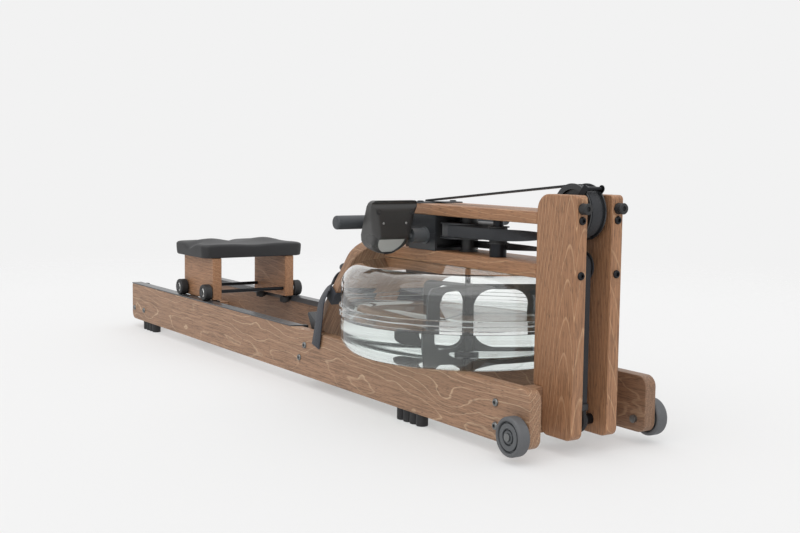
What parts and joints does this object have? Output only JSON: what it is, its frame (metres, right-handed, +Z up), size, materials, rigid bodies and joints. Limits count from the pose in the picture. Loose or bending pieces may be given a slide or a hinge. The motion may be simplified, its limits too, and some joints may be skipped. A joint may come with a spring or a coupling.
{
  "type": "water rowing machine",
  "caption": "Wooden rowing machine with a sliding seat on two rails, a footboard with straps, a clear water tank with a paddle, a strap drive, a pull handle and a tilting monitor.",
  "frame": {"origin": "centre of the machine's bounding box on the floor", "axes": "+X from the rower's end towards the pulley end, +Y to the rower's left, +Z up"},
  "size_m": [2.0916, 0.5678, 0.523],
  "materials": {
    "walnut_rail": "satin",
    "walnut_light": "satin",
    "clear_tank": "glossy",
    "water": "glossy",
    "black_rubber": "matte",
    "black_plastic": "matte",
    "black_steel": "satin",
    "webbing": "matte",
    "grey_tyre": "matte",
    "seat_cover": "matte",
    "monitor_shell": "satin",
    "pale_panel": "satin",
    "seal": "matte"
  },
  "bodies": {
    "frame": {"right_rail": "walnut_rail", "left_rail": "walnut_rail", "cross_boards": "walnut_rail", "right_upright": "walnut_light", "left_upright": "walnut_light", "upper_deck": "walnut_light", "lower_deck": "walnut_light", "footboard": "walnut_rail", "seat_tracks": "black_plastic", "track_stops": "black_rubber", "rubber_feet": "black_rubber", "rail_bolts": "black_steel", "deck_screws": "black_steel", "front_bumpers": "black_rubber", "deck_bracket": "black_plastic", "handle_rest": "black_plastic", "tank_lower_shell": "clear_tank", "tank_upper_shell": "clear_tank", "tank_seals": "seal", "tank_water": "water", "shaft_bearings": "black_plastic", "roller_pins": "black_steel", "strap_guard": "black_steel", "drive_strap": "webbing", "recoil_strap": "webbing", "recoil_cord": "black_rubber", "monitor_arm": "black_plastic", "foot_straps": "webbing"},
    "paddle": {"paddle_shaft": "black_steel", "paddle_blades": "black_plastic"},
    "drum": {"drive_drum": "black_plastic", "strap_winding": "webbing"},
    "strap_roller": {"guide_roller": "black_plastic"},
    "upper_wheel": {"top_pulley": "black_plastic"},
    "lower_wheel": {"lower_pulley": "black_plastic"},
    "cord_wheel": {"cord_roller": "black_plastic"},
    "strap_run": {"middle_strap": "webbing"},
    "handle": {"handle_strap": "webbing", "handle_core": "walnut_light", "handle_grips": "black_rubber"},
    "seat": {"seat_pad": "seat_cover", "seat_blocks": "walnut_rail", "seat_axles": "black_steel"},
    "front_wheels": {"front_seat_wheels": "black_plastic"},
    "rear_wheels": {"rear_seat_wheels": "black_plastic"},
    "right_front_roller": {"right_front_guide": "black_plastic"},
    "right_rear_roller": {"right_rear_guide": "black_plastic"},
    "left_front_roller": {"left_front_guide": "black_plastic"},
    "left_rear_roller": {"left_rear_guide": "black_plastic"},
    "monitor": {"monitor_case": "monitor_shell", "monitor_back": "monitor_shell", "monitor_screen": "pale_panel"},
    "left_key": {"left_button": "pale_panel"},
    "middle_key": {"middle_button": "pale_panel"},
    "right_key": {"right_button": "pale_panel"},
    "right_heel": {"right_heel_rest": "black_plastic"},
    "left_heel": {"left_heel_rest": "black_plastic"},
    "right_transport": {"right_transport_wheel": "grey_tyre"},
    "left_transport": {"left_transport_wheel": "grey_tyre"}
  },
  "joints": [
    {"name": "seat_slide", "type": "slide", "parent": "frame", "child": "seat", "axis": [1, 0, 0], "range_m": [-0.34, 0.535]},
    {"name": "front_seat_wheels_roll", "type": "hinge", "parent": "seat", "child": "front_wheels", "pos_m": [-0.47775, 0, 0.1678], "axis": [0, 1, 0], "range_deg": [-840, 1320]},
    {"name": "rear_seat_wheels_roll", "type": "hinge", "parent": "seat", "child": "rear_wheels", "pos_m": [-0.65475, 0, 0.1678], "axis": [0, 1, 0], "range_deg": [-840, 1320]},
    {"name": "right_front_guide_roll", "type": "hinge", "parent": "seat", "child": "right_front_roller", "pos_m": [-0.48675, -0.115, 0.133], "axis": [0, 0, 1], "range_deg": [-2055, 1310]},
    {"name": "right_rear_guide_roll", "type": "hinge", "parent": "seat", "child": "right_rear_roller", "pos_m": [-0.64875, -0.115, 0.133], "axis": [0, 0, 1], "range_deg": [-2055, 1310]},
    {"name": "left_front_guide_roll", "type": "hinge", "parent": "seat", "child": "left_front_roller", "pos_m": [-0.48675, 0.115, 0.133], "axis": [0, 0, 1], "range_deg": [-1310, 2055]},
    {"name": "left_rear_guide_roll", "type": "hinge", "parent": "seat", "child": "left_rear_roller", "pos_m": [-0.64875, 0.115, 0.133], "axis": [0, 0, 1], "range_deg": [-1310, 2055]},
    {"name": "handle_pull", "type": "slide", "parent": "frame", "child": "handle", "axis": [-0.9954, 0, -0.0959], "range_m": [0, 0.8], "stiffness_N_per_m": 30, "springref_m": -0.2},
    {"name": "strap_pay_out", "type": "slide", "parent": "frame", "child": "strap_run", "axis": [-0.9954, 0, -0.0959], "range_m": [0, 0.4]},
    {"name": "top_pulley_spin", "type": "hinge", "parent": "frame", "child": "upper_wheel", "pos_m": [0.96875, 0, 0.468], "axis": [0, 1, 0], "range_deg": [-905, 0]},
    {"name": "drum_spin", "type": "hinge", "parent": "frame", "child": "drum", "pos_m": [0.60875, 0, 0.411], "axis": [0, 0, 1], "range_deg": [0, 783]},
    {"name": "guide_roller_spin", "type": "hinge", "parent": "frame", "child": "strap_roller", "pos_m": [0.75075, -0.028, 0.41], "axis": [0, 0, 1], "range_deg": [0, 2308]},
    {"name": "lower_pulley_spin", "type": "hinge", "parent": "frame", "child": "lower_wheel", "pos_m": [0.96975, 0, 0.362], "axis": [0, 1, 0], "range_deg": [-522, 0]},
    {"name": "cord_roller_spin", "type": "hinge", "parent": "frame", "child": "cord_wheel", "pos_m": [0.98075, 0, 0.06], "axis": [0, 1, 0], "range_deg": [-719, 0]},
    {"name": "paddle_spin", "type": "hinge", "parent": "frame", "child": "paddle", "pos_m": [0.60875, 0, 0.23], "axis": [0, 0, 1], "continuous": true},
    {"name": "monitor_tilt", "type": "hinge", "parent": "frame", "child": "monitor", "pos_m": [0.52425, -0.1495, 0.396], "axis": [0, 1, 0], "range_deg": [-25, 20]},
    {"name": "left_button_press", "type": "slide", "parent": "monitor", "child": "left_key", "axis": [0.8387, 0, -0.5446], "range_m": [0, 0.0015], "stiffness_N_per_m": 300, "springref_m": -0.001},
    {"name": "middle_button_press", "type": "slide", "parent": "monitor", "child": "middle_key", "axis": [0.8387, 0, -0.5446], "range_m": [0, 0.0015], "stiffness_N_per_m": 300, "springref_m": -0.001},
    {"name": "right_button_press", "type": "slide", "parent": "monitor", "child": "right_key", "axis": [0.8387, 0, -0.5446], "range_m": [0, 0.0015], "stiffness_N_per_m": 300, "springref_m": -0.001},
    {"name": "right_heel_slide", "type": "slide", "parent": "frame", "child": "right_heel", "axis": [0.6157, 0, 0.788], "range_m": [-0.03, 0.012]},
    {"name": "left_heel_slide", "type": "slide", "parent": "frame", "child": "left_heel", "axis": [0.6157, 0, 0.788], "range_m": [-0.03, 0.012]},
    {"name": "right_transport_roll", "type": "hinge", "parent": "frame", "child": "right_transport", "pos_m": [0.99925, -0.1768, 0.052], "axis": [0, 1, 0], "continuous": true},
    {"name": "left_transport_roll", "type": "hinge", "parent": "frame", "child": "left_transport", "pos_m": [0.99925, 0.1768, 0.052], "axis": [0, 1, 0], "continuous": true}
  ],
  "couplings": [
    {"joint": "front_seat_wheels_roll", "follows": "seat_slide", "rad_per_m": 42.553},
    {"joint": "rear_seat_wheels_roll", "follows": "seat_slide", "rad_per_m": 42.553},
    {"joint": "right_front_guide_roll", "follows": "seat_slide", "rad_per_m": -66.667},
    {"joint": "right_rear_guide_roll", "follows": "seat_slide", "rad_per_m": -66.667},
    {"joint": "left_front_guide_roll", "follows": "seat_slide", "rad_per_m": 66.667},
    {"joint": "left_rear_guide_roll", "follows": "seat_slide", "rad_per_m": 66.667},
    {"joint": "strap_pay_out", "follows": "handle_pull", "ratio": 0.5},
    {"joint": "top_pulley_spin", "follows": "handle_pull", "rad_per_m": -19.646},
    {"joint": "drum_spin", "follows": "handle_pull", "rad_per_m": 16.978},
    {"joint": "guide_roller_spin", "follows": "handle_pull", "rad_per_m": 50.251},
    {"joint": "lower_pulley_spin", "follows": "handle_pull", "rad_per_m": -11.298},
    {"joint": "cord_roller_spin", "follows": "handle_pull", "rad_per_m": -15.585}
  ]
}
